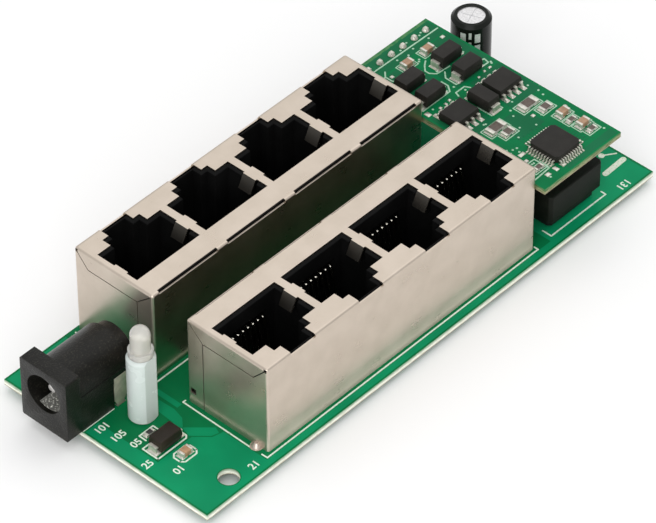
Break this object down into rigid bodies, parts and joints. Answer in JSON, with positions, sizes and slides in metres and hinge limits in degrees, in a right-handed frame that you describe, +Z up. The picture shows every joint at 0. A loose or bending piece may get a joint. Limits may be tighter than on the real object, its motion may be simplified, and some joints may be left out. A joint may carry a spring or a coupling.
{
  "type": "power over ethernet panel",
  "caption": "Narrow circuit board with rows of upright shielded network ports, a barrel power socket, an indicator light and a raised converter board, for feeding power into network cables.",
  "frame": {"origin": "on the axis of the mounting hole, at the underside of the main board", "axes": "+X along the board from the power socket to the converter board, +Y from the mounting hole's long edge to the other long edge, +Z up out of the ports"},
  "size_m": [0.0987, 0.0396, 0.0193],
  "materials": {
    "main_board": "green solder mask over glass epoxy",
    "front_port_shield": "matt tinned steel sheet",
    "rear_port_shield": "matt tinned steel sheet",
    "front_port_housing": "black",
    "rear_port_housing": "black",
    "front_port_contacts": "gold flashed",
    "rear_port_contacts": "gold flashed",
    "power_socket_body": "fine grain, black",
    "power_socket_pin": "nickel plated",
    "power_socket_sleeve_spring": "tinned",
    "power_socket_rear_terminal": "tinned",
    "power_socket_side_terminal": "tinned",
    "indicator_spacer": "translucent white",
    "indicator_lens": "milky, slightly see-through",
    "indicator_leads": "tinned",
    "surge_diode_case": "black moulding",
    "surge_diode_leads": "tinned",
    "input_capacitor": "tan ceramic with tinned ends",
    "indicator_resistor": "black film on ceramic with tinned ends",
    "converter_board": "green solder mask over glass epoxy",
    "header_strip": "black",
    "header_pins": "tinned",
    "choke_case": "dark grey ferrite",
    "choke_base": "black",
    "choke_terminals": "tinned",
    "smoothing_capacitor_can": "bright",
    "smoothing_capacitor_sleeve": "black shrunk sleeve",
    "smoothing_capacitor_bung": "black",
    "smoothing_capacitor_leads": "tinned",
    "rectifier_cases": "black moulding",
    "rectifier_leads": "tinned",
    "catch_diode_case": "black moulding",
    "catch_diode_leads": "tinned",
    "switch_transistor_cases": "black moulding",
    "switch_transistor_leads": "tinned",
    "controller_case": "black moulding",
    "controller_leads": "tinned",
    "sense_resistors": "brown film on ceramic with tinned ends",
    "medium_resistors": "dark film on ceramic with tinned ends",
    "small_resistors": "dark film on ceramic with tinned ends",
    "converter_capacitors": "tan ceramic with tinned ends"
  },
  "bodies": {
    "root": {"main_board": "main_board", "front_port_shield": "front_port_shield", "rear_port_shield": "rear_port_shield", "front_port_housing": "front_port_housing", "rear_port_housing": "rear_port_housing", "front_port_contacts": "front_port_contacts", "rear_port_contacts": "rear_port_contacts", "power_socket_body": "power_socket_body", "power_socket_pin": "power_socket_pin", "power_socket_sleeve_spring": "power_socket_sleeve_spring", "power_socket_rear_terminal": "power_socket_rear_terminal", "power_socket_side_terminal": "power_socket_side_terminal", "indicator_spacer": "indicator_spacer", "indicator_lens": "indicator_lens", "indicator_leads": "indicator_leads", "surge_diode_case": "surge_diode_case", "surge_diode_leads": "surge_diode_leads", "input_capacitor": "input_capacitor", "indicator_resistor": "indicator_resistor", "converter_board": "converter_board", "header_strip": "header_strip", "header_pins": "header_pins", "choke_case": "choke_case", "choke_base": "choke_base", "choke_terminals": "choke_terminals", "smoothing_capacitor_can": "smoothing_capacitor_can", "smoothing_capacitor_sleeve": "smoothing_capacitor_sleeve", "smoothing_capacitor_bung": "smoothing_capacitor_bung", "smoothing_capacitor_leads": "smoothing_capacitor_leads", "rectifier_cases": "rectifier_cases", "rectifier_leads": "rectifier_leads", "catch_diode_case": "catch_diode_case", "catch_diode_leads": "catch_diode_leads", "switch_transistor_cases": "switch_transistor_cases", "switch_transistor_leads": "switch_transistor_leads", "controller_case": "controller_case", "controller_leads": "controller_leads", "sense_resistors": "sense_resistors", "medium_resistors": "medium_resistors", "small_resistors": "small_resistors", "converter_capacitors": "converter_capacitors"}
  },
  "joints": []
}
